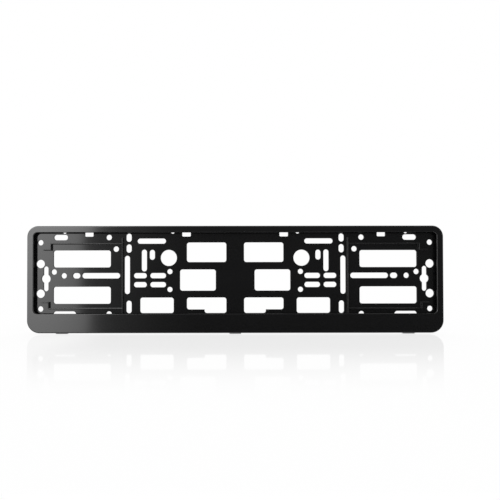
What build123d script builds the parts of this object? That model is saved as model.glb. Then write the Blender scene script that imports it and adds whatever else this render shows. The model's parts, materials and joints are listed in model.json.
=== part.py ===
"""Number plate holder: a perforated base plate that is screwed to the car, and a frame that is hinged on
its top edge and closes over the plate.

X runs along the plate, Y to the rear and Z up. The rear plane, which lies on the car, is Y = 0, and
Z = 0 is the row of the long screw slots. Depths are distances forward of the rear plane.
"""

import math
import os

from build123d import *

# The plate that the holder takes, and how far the frame laps over its edges
plate_length = 520.0
plate_height = 110.0
lap_ends = 3.0
lap_top = 1.8
lap_bottom = 4.7
plate_gap = 1.0

# Frame: a channel moulding, open to the rear
end_rail = 8.5
top_rail = 8.6
bottom_rail = 24.85
frame_wall = 2.0
face_thickness = 1.6
frame_rear_gap = 1.0
top_corner_radius = 14.0
bottom_corner_radius = 16.0
window_corner_radius = 5.0
outer_edge_radius = 1.6
window_bevel_width = 0.6
window_bevel_depth = 0.8
rib_thickness = 1.5
rib_height = 14.0
rib_pitch = 74.0
rib_pairs = 3

# Base plate: a sheet that stands off the car on a flange at the ends and along the bottom
sheet = 1.8
stand_off = 3.7
wall_gap = 0.6
flange_gap = 9.65
window_top = 54.85
relief_height = 0.4
relief_length = 14.9
relief_width = 1.6
relief_pitch = 5.55
relief_rows = 4
relief_z = 30.0

# Ribs of the base plate: those round the end panels run through the sheet from the car to the number plate,
# and those of the cross in the centre are at the rear only
panel_rib_thickness = 1.3
panel_rib_height = 3.0
panel_rib_top = 48.3
end_panel_length = 118.25
upper_rib_z = 41.15
upper_rib_foot_z = 33.25
upper_rib_bend = 26.45
upper_rib_end = 17.2
lower_rib_z = -42.25
lower_rib_foot_z = -34.25
lower_rib_bend = 23.55
lower_rib_end = 15.0
cross_rib_top = 50.0
cross_rib_z = -50.65

# Ledge under the lower edge of the plate
ledge_length = 42.0
ledge_thickness = 1.5
ledge_clearance = 0.4
ledge_inner_x = 75.0
ledge_outer_x = 130.0

# Hinge: four round bars across notches in the top strip, with a hook of the frame on each
hinge_pitch = 125.5
hinge_inset = 1.65
hinge_notch_length = 11.0
hinge_notch_height = 10.4
hinge_notch_radius = 1.5
bar_diameter = 2.8
bar_clearance = 0.15
hook_wall = 1.4
hook_sides = 8
hook_length = 6.0
hook_front_angle = 200.0
hook_rear_angle = 320.0
swing_clearance = 0.4
swing_relief = 4.0
swing_corner_relief = 3.0

# Catches: three tongues of the frame's lower wall that snap behind the base plate
tongue_inset = 42.5
tongue_width = 18.0
tongue_slit = 1.0
tongue_length = 6.0
catch_length = 13.0
catch_height = 1.0
catch_land = 0.8
catch_clearance = 0.3
pad_width = 16.0
pad_height = 1.3
pad_length = 5.0
pad_slope = 31.0

# Holes of the end panels, measured inwards from the end of the base plate
screw_hole = 7.0
pilot_hole = 4.5
pilot_sides = 8
locating_hole = 10.8
hidden_hole = 10.0
end_column = 12.0
corner_hole_z = 42.8
locating_pitch = 38.4
key_inset = 19.1
key_length = 32.1
key_width = 6.0
key_bulge = 11.5
key_z = -3.9
upper_hole_inset = 29.4
upper_hole_z = 4.9
row_hole_inset = 42.2
short_slot_inset = 58.4
short_slot_length = 9.6
screw_slot_inset = 90.0
screw_slot_length = 48.9
panel_hole_inset = 109.4
panel_hole_z = 34.4
end_window_inset = 65.6
end_window_length = 73.8
end_window_height = 21.9
end_window_upper_z = 21.7
end_window_lower_z = -25.2
strip_row_z = 49.4
strip_hole_inset = 100.3
strip_slot_inset = 38.2
strip_slot_length = 17.9
lower_slot_inset = 43.2
lower_slot_length = 28.9
pilot_inset = 43.1
pilot_inner_x = 80.4
pilot_z = 56.35
hidden_hole_inset = 18.8
hidden_hole_z = -57.5

# Holes of the centre, measured from the middle, and of its outer column, measured from the rib beside it
slot_width = 6.7
window_corner = 1.8
inner_window_x = 36.85
inner_window_length = 50.8
upper_window_z = 30.1
upper_window_height = 25.3
lower_window_z = -38.25
lower_window_height = 19.9
lower_step_length = 22.8
lower_step_height = 4.6
mid_window_x = 48.05
mid_window_z = -5.75
mid_window_length = 46.0
mid_window_height = 27.3
outer_window_x = 100.85
outer_window_length = 43.1
cable_hole = 20.8
cable_hole_x = 85.6
cable_hole_z = 22.9
centre_hole = 6.6
centre_hole_x = 84.2
centre_hole_z = -6.3
centre_hole_pitch = 23.1
top_slot_x = 107.6
top_slot_z = 44.6
top_slot_length = 36.6
tall_slot_x = 117.2
tall_slot_z = 19.6
tall_slot_length = 28.1
low_slot_x = 106.9
low_slot_z = 26.9
low_slot_length = 12.8
pair_outer_x = 122.3
pair_outer_length = 16.5
pair_inner_x = 99.4
pair_inner_length = 20.2
pair_lower_z = -11.6
column_inset = 7.75
column_top_z = 49.0
column_top_length = 10.5
column_second_z = 35.1
column_second_length = 10.7
column_long_inset = 5.55
column_long_z = 1.0
column_long_length = 49.4
column_low_z = -40.3
column_low_length = 16.1

# Levels, as depths forward of the rear plane
sheet_front = stand_off + sheet
panel_rib_front = sheet_front + panel_rib_height
face_rear = panel_rib_front + plate_gap
frame_front = face_rear + face_thickness
frame_rear = frame_rear_gap

# Outlines
window_length = plate_length - 2 * lap_ends
window_height = plate_height - lap_top - lap_bottom
window_bottom = window_top - window_height
window_middle = (window_top + window_bottom) / 2
frame_half = window_length / 2 + end_rail
frame_top = window_top + top_rail
frame_bottom = window_bottom - bottom_rail
base_inset = frame_wall + wall_gap
base_half = frame_half - base_inset
base_top = frame_top - base_inset
base_bottom = frame_bottom + base_inset
panel_rib_x = base_half - end_panel_length
plate_bottom = window_bottom - lap_bottom
panel_rib_bottom = plate_bottom + ledge_clearance

# Hinge line and catches
axis_depth = sheet_front - sheet / 2
axis_z = base_top - hinge_inset
hinge_xs = [hinge_pitch * step for step in (-1.5, -0.5, 0.5, 1.5)]
hook_bore = bar_diameter / 2 + bar_clearance
hook_radius = hook_bore + hook_wall
tongue_xs = [tongue_inset - frame_half, 0.0, frame_half - tongue_inset]
rib_xs = [side * (step + 0.5) * rib_pitch for side in (-1, 1) for step in range(rib_pairs)]


def rail_outline(inset, corner_relief=0):
    """Outline of the holder, moved in by inset, with the top corners rounded off by corner_relief more."""
    left = inset - frame_half
    right = frame_half - inset
    low = frame_bottom + inset
    high = frame_top - inset
    with BuildLine() as outline:
        Polyline((left, low), (right, low), (right, high), (left, high), close=True)
    with BuildSketch(mode=Mode.PRIVATE) as rounded:
        make_face(outline.edges())
        fillet(rounded.vertices().group_by(Axis.Y)[0], bottom_corner_radius - inset)
        fillet(rounded.vertices().group_by(Axis.Y)[-1], top_corner_radius - inset + corner_relief)
    return rounded.sketch_local


def rib_run(x_start, z_start, x_end, z_end):
    """A straight rib on each side of the middle, between two points of its centre line."""
    for side in (-1, 1):
        with Locations((side * (x_start + x_end) / 2, (z_start + z_end) / 2)):
            Rectangle(abs(x_end - x_start) + panel_rib_thickness, abs(z_end - z_start) + panel_rib_thickness)


def crooked_rib(z, foot_z, bend, end):
    """A rib along an end panel that steps towards the middle row before it ends."""
    bend_x = base_half - bend
    rib_run(panel_rib_x, z, bend_x, z)
    rib_run(bend_x, z, bend_x, foot_z)
    rib_run(bend_x, foot_z, base_half - end, foot_z)


def panel_ribs():
    """The ribs round the two end panels."""
    rib_run(panel_rib_x, panel_rib_top, panel_rib_x, panel_rib_bottom)
    crooked_rib(upper_rib_z, upper_rib_foot_z, upper_rib_bend, upper_rib_end)
    crooked_rib(lower_rib_z, lower_rib_foot_z, lower_rib_bend, lower_rib_end)


def rear_cross():
    """The rear ribs of the centre, which join those of the end panels to each other and to the flange."""
    rib_run(0, cross_rib_top, 0, cross_rib_z)
    rib_run(0, cross_rib_z, panel_rib_x, cross_rib_z)
    rib_run(panel_rib_x, cross_rib_z, panel_rib_x, base_bottom + sheet / 2)


def slot(x, z, length, width, angle=0):
    """A slot on each side of the middle."""
    for side in (-1, 1):
        with Locations((side * x, z)):
            SlotOverall(length, width, rotation=angle)


def window(x, z, length, height):
    """A window with cut corners on each side of the middle."""
    with BuildSketch(mode=Mode.PRIVATE) as outline:
        Rectangle(length, height)
        chamfer(outline.vertices(), window_corner)
    for side in (-1, 1):
        with Locations((side * x, z)):
            add(outline.sketch_local)


def hole(x, z, diameter):
    """A round hole on each side of the middle."""
    for side in (-1, 1):
        with Locations((side * x, z)):
            Circle(diameter / 2)


def pilot(x, z):
    """A small flat-sided hole on each side of the middle."""
    for side in (-1, 1):
        with Locations((side * x, z)):
            RegularPolygon(pilot_hole / 2, pilot_sides, major_radius=False)


def end_panel_holes():
    """The screw slots, locating holes and windows of the two end panels."""
    column = base_half - end_column
    for z in (-corner_hole_z, corner_hole_z):
        hole(column, z, screw_hole)
    for z in (key_z - locating_pitch / 2, key_z + locating_pitch / 2):
        hole(column, z, locating_hole)
    slot(base_half - key_inset, key_z, key_length, key_width, 90)
    hole(base_half - key_inset, key_z, key_bulge)
    hole(base_half - upper_hole_inset, upper_hole_z, screw_hole)
    hole(base_half - row_hole_inset, 0, screw_hole)
    slot(base_half - short_slot_inset, 0, short_slot_length, screw_hole)
    slot(base_half - screw_slot_inset, 0, screw_slot_length, screw_hole)
    hole(base_half - panel_hole_inset, panel_hole_z, screw_hole)
    for z in (end_window_lower_z, end_window_upper_z):
        window(base_half - end_window_inset, z, end_window_length, end_window_height)
    for z in (-strip_row_z, strip_row_z):
        hole(base_half - strip_hole_inset, z, screw_hole)
    slot(base_half - strip_slot_inset, strip_row_z, strip_slot_length, screw_hole)
    slot(base_half - lower_slot_inset, -strip_row_z, lower_slot_length, screw_hole)
    for x in (pilot_inner_x, base_half - pilot_inset):
        pilot(x, pilot_z)
    hole(base_half - hidden_hole_inset, hidden_hole_z, hidden_hole)


def centre_holes():
    """The slots, holes and windows of the centre."""
    window(inner_window_x, upper_window_z, inner_window_length, upper_window_height)
    window(mid_window_x, mid_window_z, mid_window_length, mid_window_height)
    window(outer_window_x, lower_window_z, outer_window_length, lower_window_height)
    window(inner_window_x, lower_window_z + lower_step_height / 2, inner_window_length,
           lower_window_height - lower_step_height)
    window(inner_window_x - lower_step_length / 2, lower_window_z,
           inner_window_length - lower_step_length, lower_window_height)
    hole(cable_hole_x, cable_hole_z, cable_hole)
    for z in (centre_hole_z - centre_hole_pitch / 2, centre_hole_z + centre_hole_pitch / 2):
        hole(centre_hole_x, z, centre_hole)
    slot(top_slot_x, top_slot_z, top_slot_length, slot_width)
    slot(tall_slot_x, tall_slot_z, tall_slot_length, slot_width, 90)
    slot(low_slot_x, low_slot_z, low_slot_length, slot_width, 90)
    for z in (pair_lower_z, 0):
        slot(pair_outer_x, z, pair_outer_length, slot_width)
        slot(pair_inner_x, z, pair_inner_length, slot_width)
    column = panel_rib_x - column_inset
    slot(column, column_top_z, column_top_length, slot_width, 90)
    slot(column, column_second_z, column_second_length, slot_width, 90)
    slot(panel_rib_x - column_long_inset, column_long_z, column_long_length, slot_width, 90)
    slot(column, column_low_z, column_low_length, slot_width, 90)


def hook_outline():
    """Section of a hinge hook: a rib under the top wall that ends in an open flat-sided ring on the bar."""
    front = Vector(math.cos(math.radians(hook_front_angle)), math.sin(math.radians(hook_front_angle)))
    rear = Vector(math.cos(math.radians(hook_rear_angle)), math.sin(math.radians(hook_rear_angle)))
    reach = 2 * hook_radius
    half_side = 180 / hook_sides
    axis = Vector(-axis_depth, axis_z)
    root_z = frame_top - frame_wall / 2
    with BuildSketch(mode=Mode.PRIVATE) as hook:
        with Locations(axis):
            RegularPolygon(hook_radius, hook_sides, major_radius=False, rotation=half_side)
        with BuildLine():
            Polyline(
                (-axis_depth, axis_z), (-axis_depth, root_z), (-face_rear, root_z), (-face_rear, axis_z),
                close=True,
            )
        make_face()
        with Locations(axis):
            RegularPolygon(
                hook_bore, hook_sides, major_radius=False, rotation=half_side, mode=Mode.SUBTRACT
            )
        with BuildLine():
            Polyline(axis, axis + front * reach, axis + Vector(0, -reach), axis + rear * reach, close=True)
        make_face(mode=Mode.SUBTRACT)
    return hook.sketch_local


def rib_outline():
    """Section of a rib across the lower rail, which bears on the base plate."""
    rib_rear = sheet_front + catch_clearance
    foot = frame_bottom + frame_wall / 2
    with BuildSketch(mode=Mode.PRIVATE) as section:
        with BuildLine():
            Polyline(
                (-rib_rear, foot), (-face_rear, foot), (-face_rear, foot + rib_height),
                (-rib_rear, foot + rib_height), close=True,
            )
        make_face()
    return section.sketch_local


def catch_outline():
    """Section of a catch, with a lead-in on its rear side."""
    inner = frame_bottom + frame_wall
    catch_front = stand_off - catch_clearance
    with BuildSketch(mode=Mode.PRIVATE) as catch:
        with BuildLine():
            Polyline(
                (-catch_front, inner - frame_wall / 2), (-catch_front, inner + catch_height),
                (-catch_front + catch_land, inner + catch_height), (-frame_rear, inner),
                (-frame_rear, inner - frame_wall / 2), close=True,
            )
        make_face()
    return catch.sketch_local


# Base plate, hollow at the rear inside a flange that is open along the hinge edge and at the catches
with BuildPart() as base_plate:
    with BuildSketch(Plane.XZ):
        add(rail_outline(base_inset, swing_corner_relief))
    extrude(amount=sheet_front)
    with BuildSketch(Plane.XZ):
        add(rail_outline(base_inset + sheet, swing_corner_relief))
        with Locations((0, base_top)):
            Rectangle(2 * base_half, 2 * flange_gap)
        for x in tongue_xs:
            with Locations((x, base_bottom)):
                Rectangle(tongue_width + 2 * tongue_slit, 4 * sheet)
    extrude(amount=stand_off, mode=Mode.SUBTRACT)

    with BuildSketch(Plane.XZ):
        panel_ribs()
    extrude(amount=panel_rib_front)
    with BuildSketch(Plane.XZ):
        rear_cross()
    extrude(amount=sheet_front)

    # Ledge that the plate stands on, behind the lower rail
    with BuildSketch(Plane.XZ.offset(sheet_front)):
        for x in (-ledge_outer_x, -ledge_inner_x, ledge_inner_x, ledge_outer_x):
            with Locations((x, plate_bottom - ledge_clearance - ledge_thickness / 2)):
                Rectangle(ledge_length, ledge_thickness)
    extrude(amount=face_rear - ledge_clearance - sheet_front)

    # Low bars between the two upper windows
    with BuildSketch(Plane.XZ.offset(sheet_front)):
        with Locations((0, relief_z)):
            with GridLocations(0, relief_pitch, 1, relief_rows):
                Rectangle(relief_length, relief_width)
    extrude(amount=relief_height)

    with BuildSketch(Plane.XZ):
        end_panel_holes()
        centre_holes()
        for x in hinge_xs:
            with Locations((x, base_top)):
                RectangleRounded(hinge_notch_length, 2 * hinge_notch_height, hinge_notch_radius)
    extrude(amount=frame_front, mode=Mode.SUBTRACT)

    # Hinge bars
    with Locations([(x, -axis_depth, axis_z) for x in hinge_xs]):
        Cylinder(bar_diameter / 2, hinge_notch_length, rotation=(0, 90, 0))

base_plate.part.label = "base_plate"


# Frame, with its outer wall and the front face that laps over the plate
with BuildPart() as frame:
    with BuildSketch(Plane.XZ.offset(frame_rear)):
        add(rail_outline(0))
    extrude(amount=frame_front - frame_rear)
    front_edges = frame.faces().sort_by(Axis.Y)[0].edges()
    fillet(front_edges, outer_edge_radius)

    with BuildSketch(Plane.XZ.offset(frame_rear)):
        with Locations((0, window_middle)):
            RectangleRounded(window_length, window_height, window_corner_radius)
    extrude(amount=frame_front, mode=Mode.SUBTRACT)
    front_face = frame.faces().sort_by(Axis.Y)[0]
    window_edges = front_face.inner_wires()[0].edges()
    chamfer(window_edges, window_bevel_width, window_bevel_depth, reference=front_face)

    with BuildSketch(Plane.XZ.offset(frame_rear)):
        add(rail_outline(frame_wall))
    extrude(amount=face_rear - frame_rear, mode=Mode.SUBTRACT)

    # Rear of the top wall, cut back so that it can swing past the hinge line
    with BuildSketch(Plane.YZ):
        with BuildLine():
            Polyline(
                (-axis_depth - swing_clearance, frame_top + frame_wall),
                (-axis_depth - swing_clearance, axis_z),
                (-frame_rear, axis_z - swing_relief),
                (0, axis_z - swing_relief),
                (0, frame_top + frame_wall),
                close=True,
            )
        make_face()
    extrude(amount=frame_half, both=True, mode=Mode.SUBTRACT)

    for x in rib_xs:
        with BuildSketch(Plane.YZ.offset(x - rib_thickness / 2)):
            add(rib_outline())
        extrude(amount=rib_thickness)

    for x in hinge_xs:
        with BuildSketch(Plane.YZ.offset(x - hook_length / 2)):
            add(hook_outline())
        extrude(amount=hook_length)

    # Tongues, each between two slits of the lower wall, with a catch inside and a finger pad outside
    with BuildSketch(Plane.XY.offset(frame_bottom)):
        for x in tongue_xs:
            with Locations((x, -frame_rear - tongue_length / 2)):
                with GridLocations(tongue_width + tongue_slit, 0, 2, 1):
                    Rectangle(tongue_slit, tongue_length)
    extrude(amount=frame_wall, mode=Mode.SUBTRACT)
    for x in tongue_xs:
        with BuildSketch(Plane.YZ.offset(x - catch_length / 2)):
            add(catch_outline())
        extrude(amount=catch_length)
    with BuildSketch(Plane.XY.offset(frame_bottom)):
        for x in tongue_xs:
            with Locations((x, -frame_rear - tongue_length + pad_length / 2)):
                Rectangle(pad_width, pad_length)
    extrude(amount=-pad_height, taper=pad_slope)

frame.part.label = "frame"


os.makedirs("parts", exist_ok=True)
export_step(base_plate.part, "parts/base_plate.step")
export_step(frame.part, "parts/frame.step")
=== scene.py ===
import json
import math

import bmesh
import bpy
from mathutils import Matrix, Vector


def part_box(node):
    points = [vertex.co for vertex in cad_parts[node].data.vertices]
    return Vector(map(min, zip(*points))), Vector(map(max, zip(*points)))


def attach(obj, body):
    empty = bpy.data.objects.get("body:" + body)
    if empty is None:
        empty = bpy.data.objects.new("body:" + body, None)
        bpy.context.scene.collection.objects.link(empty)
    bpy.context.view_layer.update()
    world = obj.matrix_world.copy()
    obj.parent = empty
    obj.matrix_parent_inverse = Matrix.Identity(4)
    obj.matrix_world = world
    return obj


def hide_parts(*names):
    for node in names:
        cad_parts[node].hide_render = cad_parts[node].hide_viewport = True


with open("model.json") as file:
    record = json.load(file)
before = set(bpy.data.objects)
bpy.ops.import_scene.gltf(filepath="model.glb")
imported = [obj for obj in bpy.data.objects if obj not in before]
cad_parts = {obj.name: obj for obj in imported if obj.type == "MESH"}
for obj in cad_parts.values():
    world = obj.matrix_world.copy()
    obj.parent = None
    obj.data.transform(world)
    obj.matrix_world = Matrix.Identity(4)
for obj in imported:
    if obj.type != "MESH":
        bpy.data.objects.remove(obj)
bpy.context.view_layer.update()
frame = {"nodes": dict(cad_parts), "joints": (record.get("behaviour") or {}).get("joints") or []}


# Base plate: one injection moulding of black plastic, a sheet with ribs round its end panels and holes all
# over, which is screwed flat to the car. Its edges and hole rims leave the mould with small radii, which are
# wider on the crests of the ribs and less where there is little room, as beside the hinge bars.
weld_distance = 0.00012
base_edge_radius = 0.0003
crest_edge_radius = 0.00055
crest_y = -0.0085
top_edge_radius = 0.0002
top_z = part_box("base_plate")[1].z
relief_edge_radius = 0.00008
relief_rear_y = -0.0054
relief_half_width = 0.0077
relief_middle_z = 0.03
relief_half_height = 0.0094
hinge_axis = frame["joints"][0]["pos_m"][1:]
hinge_bar_reach = 0.00145
rib_end_z = -0.0536
rib_end_lift = 0.0007
wall_normal_y = 0.01
flat_normal_y = 0.9999
flat_angle = math.radians(0.5)
sharp_angle = math.radians(30)
rim_margin = 0.00004
edge_segments = 3
flat_face_weight = 100
window_corner_offset = 0.0012
pilot_corner_offset = 0.0009
pilot_row_z = 0.05635
pilot_reach = 0.003
chamfer_angle = math.radians(45)
angle_tolerance = math.radians(3)
across_share = 0.999
corner_segments = 4
round_profile = 0.5


def welded(node_name):
    """The mesh of a node as one skin, with the two triangles of each facet of a wall joined."""
    shape = bmesh.new()
    shape.from_mesh(frame["nodes"][node_name].data)
    bmesh.ops.remove_doubles(shape, verts=shape.verts, dist=weld_distance)
    diagonals = []
    for edge in shape.edges:
        on_wall = all(abs(face.normal.y) < wall_normal_y for face in edge.link_faces)
        if on_wall and edge.calc_face_angle(math.pi) < flat_angle:
            diagonals.append(edge)
    bmesh.ops.dissolve_edges(shape, edges=diagonals, use_verts=False)
    return shape


def flats(shape):
    """The groups of neighbouring faces that lie flat to the front or the rear."""
    left = {face for face in shape.faces if abs(face.normal.y) > flat_normal_y}
    groups = []
    for first in shape.faces:
        if first not in left:
            continue
        left.remove(first)
        group = [first]
        for face in group:
            for edge in face.edges:
                for other in edge.link_faces:
                    if other in left and edge.calc_face_angle(math.pi) < flat_angle:
                        left.remove(other)
                        group.append(other)
        groups.append(group)
    return groups


def rim_flats(shape, radius_at):
    """Lays a narrow rim of clean faces round each flat and its holes, for the rounding to run in."""
    for group in flats(shape):
        outward = group[0].normal.copy()
        rim_width = max(radius_at(vert.co) for face in group for vert in face.verts) + rim_margin
        bmesh.ops.inset_region(
            shape, faces=group, thickness=rim_width, use_boundary=True, use_even_offset=True,
        )
        inside = set(group)
        rim = []
        for face in group:
            for edge in face.edges:
                if any(other not in inside for other in edge.link_faces):
                    rim.append(edge)
        bmesh.ops.delete(shape, geom=group, context="FACES")
        bmesh.ops.triangle_fill(shape, edges=rim, use_beauty=True, normal=outward)


def chamfer_edges(shape):
    """The edges across the wall at the cut corners of windows and pilot holes."""
    found = []
    for edge in shape.edges:
        run = edge.verts[1].co - edge.verts[0].co
        across = abs(run.y) > across_share * run.length
        if across and abs(edge.calc_face_angle(0) - chamfer_angle) < angle_tolerance:
            found.append(edge)
    return found


def settle(piece):
    """Turns what the modifiers make of a piece into its plain mesh."""
    graph = bpy.context.evaluated_depsgraph_get()
    mesh = bpy.data.meshes.new_from_object(piece.evaluated_get(graph), depsgraph=graph)
    piece.modifiers.clear()
    piece.data = mesh
    mesh.name = piece.name


def moulding(name, shape, radius_at):
    """An object of a welded shape, with every sharp edge rounded off."""
    weight = shape.edges.layers.float.new("bevel_weight_edge")
    sharp = [edge for edge in shape.edges if edge.calc_face_angle(0) > sharp_angle]
    radii = [min(radius_at(vert.co) for vert in edge.verts) for edge in sharp]
    widest = max(radii)
    for edge, radius in zip(sharp, radii):
        edge[weight] = radius / widest
    mesh = bpy.data.meshes.new(name)
    shape.to_mesh(mesh)
    shape.free()
    mesh.polygons.foreach_set("use_smooth", [True] * len(mesh.polygons))
    piece = bpy.data.objects.new(name, mesh)
    bpy.context.scene.collection.objects.link(piece)
    rounding = piece.modifiers.new("Rounded edges", "BEVEL")
    rounding.limit_method = "WEIGHT"
    rounding.width = widest
    rounding.segments = edge_segments
    rounding.use_clamp_overlap = False
    flattening = piece.modifiers.new("Flat faces", "WEIGHTED_NORMAL")
    flattening.weight = flat_face_weight
    settle(piece)
    return piece


def base_radius(point):
    """The rounding of the base plate's edges at a point."""
    if math.dist(point[1:], hinge_axis) < hinge_bar_reach:
        return 0.0
    if abs(point.z - top_z) < weld_distance:
        return top_edge_radius
    if abs(point.y - crest_y) < weld_distance:
        return crest_edge_radius
    beside = abs(point.x) < relief_half_width and abs(point.z - relief_middle_z) < relief_half_height
    if beside and point.y < relief_rear_y:
        return relief_edge_radius
    return base_edge_radius


base_shape = welded("base_plate")

# The upright ribs end a little higher above the ledge, to leave room for the rounding.
for vert in base_shape.verts:
    if abs(vert.co.z - rib_end_z) < weld_distance:
        vert.co.z += rib_end_lift

rim_flats(base_shape, base_radius)
corners = chamfer_edges(base_shape)
pilots = [edge for edge in corners if abs(edge.verts[0].co.z - pilot_row_z) < pilot_reach]
windows = [edge for edge in corners if edge not in pilots]
for edges, offset in ((windows, window_corner_offset), (pilots, pilot_corner_offset)):
    bmesh.ops.bevel(
        base_shape, geom=edges, offset=offset, offset_type="OFFSET", segments=corner_segments,
        profile=round_profile, affect="EDGES", clamp_overlap=False,
    )
base_piece = moulding("base_plate_moulding", base_shape, base_radius)

# The base plate's finish, which the frame shares: a fine grain etched into the mould, a slight waviness of
# the flat faces, a long bow from cooling, and a gloss and a tone that wander where the melt flowed.
grain_detail = 2.0
wave_scale = 16.0
wave_detail = 1.0
flow_stretch = (6.0, 40.0, 40.0)
flow_detail = 4.0
middle_flow = 0.5
plastic_ior = 1.5


def node(tree, kind, inputs=None, **settings):
    """A new node in a tree, with its settings by name and each input set to a value or fed by an output."""
    made = tree.nodes.new(kind)
    for key, value in settings.items():
        setattr(made, key, value)
    for key, value in (inputs or {}).items():
        if isinstance(value, bpy.types.NodeSocket):
            tree.links.new(value, made.inputs[key])
        else:
            made.inputs[key].default_value = value
    return made


def reckoned(tree, operation, *terms):
    """The outcome of a sum in a tree of shader nodes, from values and outputs."""
    return node(tree, "ShaderNodeMath", dict(enumerate(terms)), operation=operation).outputs[0]


surface = bpy.data.node_groups.new("Moulded surface", "ShaderNodeTree")
for label in ("Grain Size", "Grain Depth", "Wave Depth", "Bow", "Roughness", "Gloss Spread"):
    surface.interface.new_socket(label, in_out="INPUT", socket_type="NodeSocketFloat")
for label in ("Dark Tone", "Light Tone"):
    surface.interface.new_socket(label, in_out="INPUT", socket_type="NodeSocketColor")
surface.interface.new_socket("Color", in_out="OUTPUT", socket_type="NodeSocketColor")
surface.interface.new_socket("Roughness", in_out="OUTPUT", socket_type="NodeSocketFloat")
surface.interface.new_socket("Normal", in_out="OUTPUT", socket_type="NodeSocketVector")
given = surface.nodes.new("NodeGroupInput").outputs
place = node(surface, "ShaderNodeTexCoord").outputs["Object"]
grain_scale = reckoned(surface, "DIVIDE", 1.0, given["Grain Size"])
grain = node(surface, "ShaderNodeTexNoise", {"Vector": place, "Scale": grain_scale, "Detail": grain_detail})
wave = node(surface, "ShaderNodeTexNoise", {"Vector": place, "Scale": wave_scale, "Detail": wave_detail})
stretched = node(surface, "ShaderNodeMapping", {"Vector": place, "Scale": flow_stretch}).outputs["Vector"]
flow = node(surface, "ShaderNodeTexNoise", {"Vector": stretched, "Scale": 1.0, "Detail": flow_detail})
along = node(surface, "ShaderNodeSeparateXYZ", {"Vector": place}).outputs["X"]
grained = reckoned(surface, "MULTIPLY", grain.outputs[0], given["Grain Depth"])
waved = reckoned(surface, "MULTIPLY_ADD", wave.outputs[0], given["Wave Depth"], grained)
squared = reckoned(surface, "MULTIPLY", along, along)
bowed = reckoned(surface, "MULTIPLY_ADD", squared, given["Bow"], waved)
bump = node(surface, "ShaderNodeBump", {"Strength": 1.0, "Distance": 1.0, "Height": bowed})
wander = reckoned(surface, "SUBTRACT", flow.outputs[0], middle_flow)
gloss = reckoned(surface, "MULTIPLY_ADD", wander, given["Gloss Spread"], given["Roughness"])
tone = node(surface, "ShaderNodeMix", {"Factor": flow.outputs[0]}, data_type="RGBA", blend_type="MIX")
dark_end, light_end = [socket for socket in tone.inputs if socket.type == "RGBA"]
mixed_tone = [socket for socket in tone.outputs if socket.type == "RGBA"][0]
surface.links.new(given["Dark Tone"], dark_end)
surface.links.new(given["Light Tone"], light_end)
node(surface, "NodeGroupOutput", {"Color": mixed_tone, "Roughness": gloss, "Normal": bump.outputs["Normal"]})


def plastic(name, shine, finish):
    """A black moulded plastic of a given shine, with the values of its surface."""
    material = bpy.data.materials.new(name)
    material.use_nodes = True
    tree = material.node_tree
    moulded = node(tree, "ShaderNodeGroup", finish, node_tree=surface)
    shader = tree.nodes["Principled BSDF"]
    shader.inputs["IOR"].default_value = plastic_ior
    shader.inputs["Specular IOR Level"].default_value = shine
    tree.links.new(moulded.outputs["Color"], shader.inputs["Base Color"])
    tree.links.new(moulded.outputs["Roughness"], shader.inputs["Roughness"])
    tree.links.new(moulded.outputs["Normal"], shader.inputs["Normal"])
    return material


base_shine = 0.4
base_finish = {
    "Grain Size": 0.00035,
    "Grain Depth": 1e-6,
    "Wave Depth": 2e-5,
    "Bow": 0.053,
    "Roughness": 0.08,
    "Gloss Spread": 0.03,
    "Dark Tone": (0.004, 0.004, 0.0042, 1.0),
    "Light Tone": (0.0065, 0.0065, 0.0068, 1.0),
}
base_plastic = plastic("Base plate plastic", base_shine, base_finish)
base_piece.data.materials.clear()
base_piece.data.materials.append(base_plastic)
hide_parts("base_plate")
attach(base_piece, "base")


# Frame: a channel moulding of the same black plastic with a smoother face, hooked to the base plate along
# its top edge and snapped over it at the bottom.
frame_edge_radius = 0.00022
root_edge_radius = 0.0001
root_front_y = -0.0051
root_rear_y = -0.0045
frame_shine = 0.5
frame_finish = {
    "Grain Size": 0.0003,
    "Grain Depth": 1.5e-6,
    "Wave Depth": 3e-5,
    "Bow": 0.0,
    "Roughness": 0.11,
    "Gloss Spread": 0.03,
    "Dark Tone": (0.004, 0.004, 0.0042, 1.0),
    "Light Tone": (0.006, 0.006, 0.0063, 1.0),
}


def frame_radius(point):
    """The rounding of the frame's edges at a point, which is less on the narrow roots of the hooks."""
    return root_edge_radius if root_front_y < point.y < root_rear_y else frame_edge_radius


frame_shape = welded("frame")
rim_flats(frame_shape, frame_radius)
frame_piece = moulding("frame_moulding", frame_shape, frame_radius)
frame_plastic = plastic("Frame plastic", frame_shine, frame_finish)
frame_piece.data.materials.clear()
frame_piece.data.materials.append(frame_plastic)
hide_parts("frame")
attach(frame_piece, "frame")


# Ejector marks: the low rings that the pins of the moulds leave on the faces that lie to the rear, on the
# back of the base plate and in the channel of the lower rail.
mark_radius = 0.003
mark_height = 0.00025
mark_points = 32
mark_section_points = 8
facing_rear = (math.pi / 2, 0.0, 0.0)
sheet_rear_y = -0.0037
channel_y = -0.0095
base_spots = (
    (0.006, 0.046), (0.006, 0.012), (0.006, -0.024), (0.030, 0.054), (0.110, 0.054), (0.175, 0.054),
    (0.204, 0.054), (0.172, 0.0071), (0.212, 0.0071), (0.172, -0.0089), (0.212, -0.0089), (0.030, -0.060),
    (0.085, -0.060), (0.130, -0.060), (0.160, -0.060), (0.200, -0.060),
)
channel_spots = ((0.055, -0.060), (0.092, -0.060), (0.148, -0.060), (0.204, -0.060))
marks = bpy.data.node_groups.new("Ejector marks", "GeometryNodeTree")
marks.interface.new_socket("Spots", in_out="INPUT", socket_type="NodeSocketGeometry")
ring_radius = marks.interface.new_socket("Ring Radius", in_out="INPUT", socket_type="NodeSocketFloat")
ring_height = marks.interface.new_socket("Ring Height", in_out="INPUT", socket_type="NodeSocketFloat")
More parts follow.
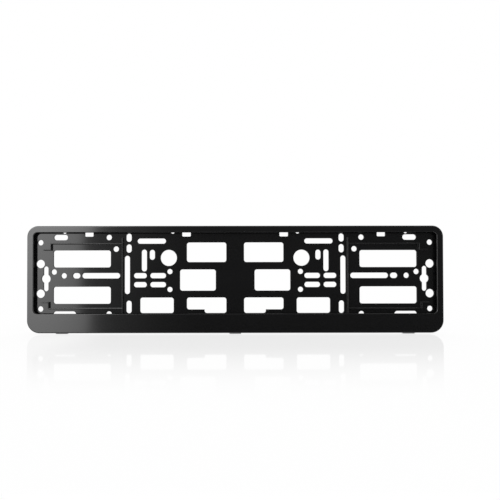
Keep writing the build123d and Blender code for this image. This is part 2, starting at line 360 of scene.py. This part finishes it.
ring_finish = marks.interface.new_socket("Finish", in_out="INPUT", socket_type="NodeSocketMaterial")
marks.interface.new_socket("Marks", in_out="OUTPUT", socket_type="NodeSocketGeometry")
given = marks.nodes.new("NodeGroupInput").outputs
circle = node(
    marks, "GeometryNodeCurvePrimitiveCircle", {"Resolution": mark_points, "Radius": given["Ring Radius"]},
)
section = node(
    marks, "GeometryNodeCurvePrimitiveCircle",
    {"Resolution": mark_section_points, "Radius": given["Ring Height"]},
)
ring = node(
    marks, "GeometryNodeCurveToMesh",
    {"Curve": circle.outputs["Curve"], "Profile Curve": section.outputs["Curve"]},
)
turned = node(marks, "GeometryNodeTransform", {"Geometry": ring.outputs["Mesh"], "Rotation": facing_rear})
spread = node(
    marks, "GeometryNodeInstanceOnPoints",
    {"Points": given["Spots"], "Instance": turned.outputs["Geometry"]},
)
real = node(marks, "GeometryNodeRealizeInstances", {"Geometry": spread.outputs["Instances"]})
finished = node(
    marks, "GeometryNodeSetMaterial", {"Geometry": real.outputs["Geometry"], "Material": given["Finish"]},
)
node(marks, "NodeGroupOutput", {"Marks": finished.outputs["Geometry"]})


def ejector_marks(name, spots, y, plastic_finish):
    """Rings at the spots on both sides of the middle, at one depth, as one piece."""
    mesh = bpy.data.meshes.new(name)
    mesh.from_pydata([(side * x, y, z) for x, z in spots for side in (-1, 1)], [], [])
    piece = bpy.data.objects.new(name, mesh)
    bpy.context.scene.collection.objects.link(piece)
    stamping = piece.modifiers.new("Ejector marks", "NODES")
    stamping.node_group = marks
    stamping[ring_radius.identifier] = mark_radius
    stamping[ring_height.identifier] = mark_height
    stamping[ring_finish.identifier] = plastic_finish
    settle(piece)
    return piece


base_marks = ejector_marks("base_plate_marks", base_spots, sheet_rear_y, base_plastic)
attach(base_marks, "base")
frame_marks = ejector_marks("frame_marks", channel_spots, channel_y, frame_plastic)
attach(frame_marks, "frame")


# Floor: a plain white sheet that the holder stands on. It is smooth enough near the holder to mirror it
# faintly, and duller at the left end, and it glows a little by itself, so that it stays white.
floor_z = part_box("frame")[0].z
floor_half = 6.0
sheet_white = (0.98, 0.98, 0.98, 1.0)
full_white = (1.0, 1.0, 1.0, 1.0)
glow_share = 0.9
mirror_roughness = 0.05
mirror_share = 0.15
mirror_near = 0.09
mirror_far = 0.27
dull_share = 0.5
dull_x = -0.215
smooth_x = -0.145
bpy.ops.mesh.primitive_plane_add(size=2 * floor_half, location=(0, 0, floor_z))
floor = bpy.context.object
floor.name = "floor"
floor.visible_glossy = False
floor_white = bpy.data.materials.new("White sheet")
floor_white.use_nodes = True
tree = floor_white.node_tree
tree.nodes.clear()
ray = node(tree, "ShaderNodeLightPath").outputs
seen = reckoned(tree, "MAXIMUM", ray["Is Camera Ray"], ray["Is Transmission Ray"])
glowing = reckoned(tree, "MULTIPLY", seen, glow_share)
sheet = node(tree, "ShaderNodeBsdfDiffuse", {"Color": sheet_white})
glow = node(tree, "ShaderNodeEmission", {"Color": full_white, "Strength": 1.0})
paper = node(tree, "ShaderNodeMixShader", {0: glowing, 1: sheet.outputs[0], 2: glow.outputs[0]})
mirror = node(tree, "ShaderNodeBsdfAnisotropic", {"Color": full_white, "Roughness": mirror_roughness})
place = node(tree, "ShaderNodeTexCoord").outputs["Object"]
apart = node(tree, "ShaderNodeSeparateXYZ", {"Vector": place}).outputs
away = reckoned(tree, "ABSOLUTE", apart["Y"])
polish = node(
    tree, "ShaderNodeMapRange",
    {"Value": away, "From Min": mirror_near, "From Max": mirror_far, "To Min": mirror_share, "To Max": 0.0},
    interpolation_type="SMOOTHSTEP",
)
dulled = node(
    tree, "ShaderNodeMapRange",
    {"Value": apart["X"], "From Min": dull_x, "From Max": smooth_x, "To Min": dull_share, "To Max": 1.0},
    interpolation_type="SMOOTHSTEP",
)
gleam = reckoned(tree, "MULTIPLY", polish.outputs[0], dulled.outputs[0])
skin = node(tree, "ShaderNodeMixShader", {0: gleam, 1: paper.outputs[0], 2: mirror.outputs[0]})
node(tree, "ShaderNodeOutputMaterial", {"Surface": skin.outputs[0]})
floor.data.materials.append(floor_white)


# Light wall: a wide softbox behind the camera on the left, which runs out into black cloth. It shows only in
# the gloss of the plastic, leans a little to one side, and is brighter towards the top.
wall_y = -1.0
wall_half_width = 2.2
wall_half_height = 1.3
wall_lean = math.radians(3.0)
middle_strength = 4.284
strength_per_height = 3.78
wall_levels = (
    (-wall_half_width, 1.0), (-0.79, 1.0), (-0.705, 0.92), (-0.634, 0.82), (-0.5925, 0.76), (-0.5675, 0.21),
    (-0.534, 0.145), (-0.459, 0.1), (-0.384, 0.08), (-0.3, 0.05), (-0.13, 0.027), (1.4, 0.02),
    (wall_half_width, 0.05),
)
bpy.ops.mesh.primitive_plane_add(size=2.0, location=(0, wall_y, 0), rotation=(math.pi / 2, wall_lean, 0))
wall = bpy.context.object
wall.name = "light_wall"
wall.scale = (wall_half_width, wall_half_height, 1.0)
bpy.ops.object.transform_apply(location=False, rotation=False, scale=True)
wall.visible_camera = False
wall.visible_diffuse = False
wall.visible_shadow = False
wall_light = bpy.data.materials.new("Softbox and cloth")
wall_light.use_nodes = True
tree = wall_light.node_tree
tree.nodes.clear()
place = node(tree, "ShaderNodeTexCoord").outputs["Object"]
apart = node(tree, "ShaderNodeSeparateXYZ", {"Vector": place}).outputs
span = node(
    tree, "ShaderNodeMapRange",
    {"Value": apart["X"], "From Min": -wall_half_width, "From Max": wall_half_width},
)
ramp = node(tree, "ShaderNodeValToRGB", {0: span.outputs[0]})
stops = ramp.color_ramp.elements
while len(stops) < len(wall_levels):
    stops.new(0.5)
for stop, (x, level) in zip(stops, wall_levels):
    stop.position = (x + wall_half_width) / (2 * wall_half_width)
    stop.color = (level, level, level, 1.0)
strength = reckoned(tree, "MULTIPLY_ADD", apart["Y"], strength_per_height, middle_strength)
glow = node(tree, "ShaderNodeEmission", {"Color": ramp.outputs["Color"], "Strength": strength})
node(tree, "ShaderNodeOutputMaterial", {"Surface": glow.outputs[0]})
wall.data.materials.append(wall_light)


# Room: white walls all round, which give a soft light from every side and agree with the floor, so that the
# background is white and the gloss shows it.
room = bpy.data.worlds.new("White room")
bpy.context.scene.world = room
room.use_nodes = True
tree = room.node_tree
tree.nodes.clear()
sky = node(tree, "ShaderNodeBackground", {"Color": full_white, "Strength": 1.0})
node(tree, "ShaderNodeOutputWorld", {"Surface": sky.outputs[0]})


# Camera: square on to the front and close to it, a little below the middle, looking up very slightly. The
# lens is shifted, so that the holder lies where it should in the picture and its edges stay level.
front_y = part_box("frame")[0].y
camera_distance = 0.44
camera_x = -0.006
camera_z = -0.015
camera_pitch = math.radians(0.5)
camera_roll = 0.0015
film_width = 36.0
focal_length = 24.9
shift_across = 0.0389
shift_up = 0.0683
lens = bpy.data.cameras.new("camera")
lens.sensor_width = film_width
lens.lens = focal_length
lens.shift_x = shift_across
lens.shift_y = shift_up
camera = bpy.data.objects.new("camera", lens)
camera.location = (camera_x, front_y - camera_distance, camera_z)
camera.rotation_euler = (math.pi / 2 + camera_pitch, camera_roll, 0.0)
bpy.context.scene.collection.objects.link(camera)
bpy.context.scene.camera = camera
bpy.context.scene.view_settings.view_transform = "Standard"
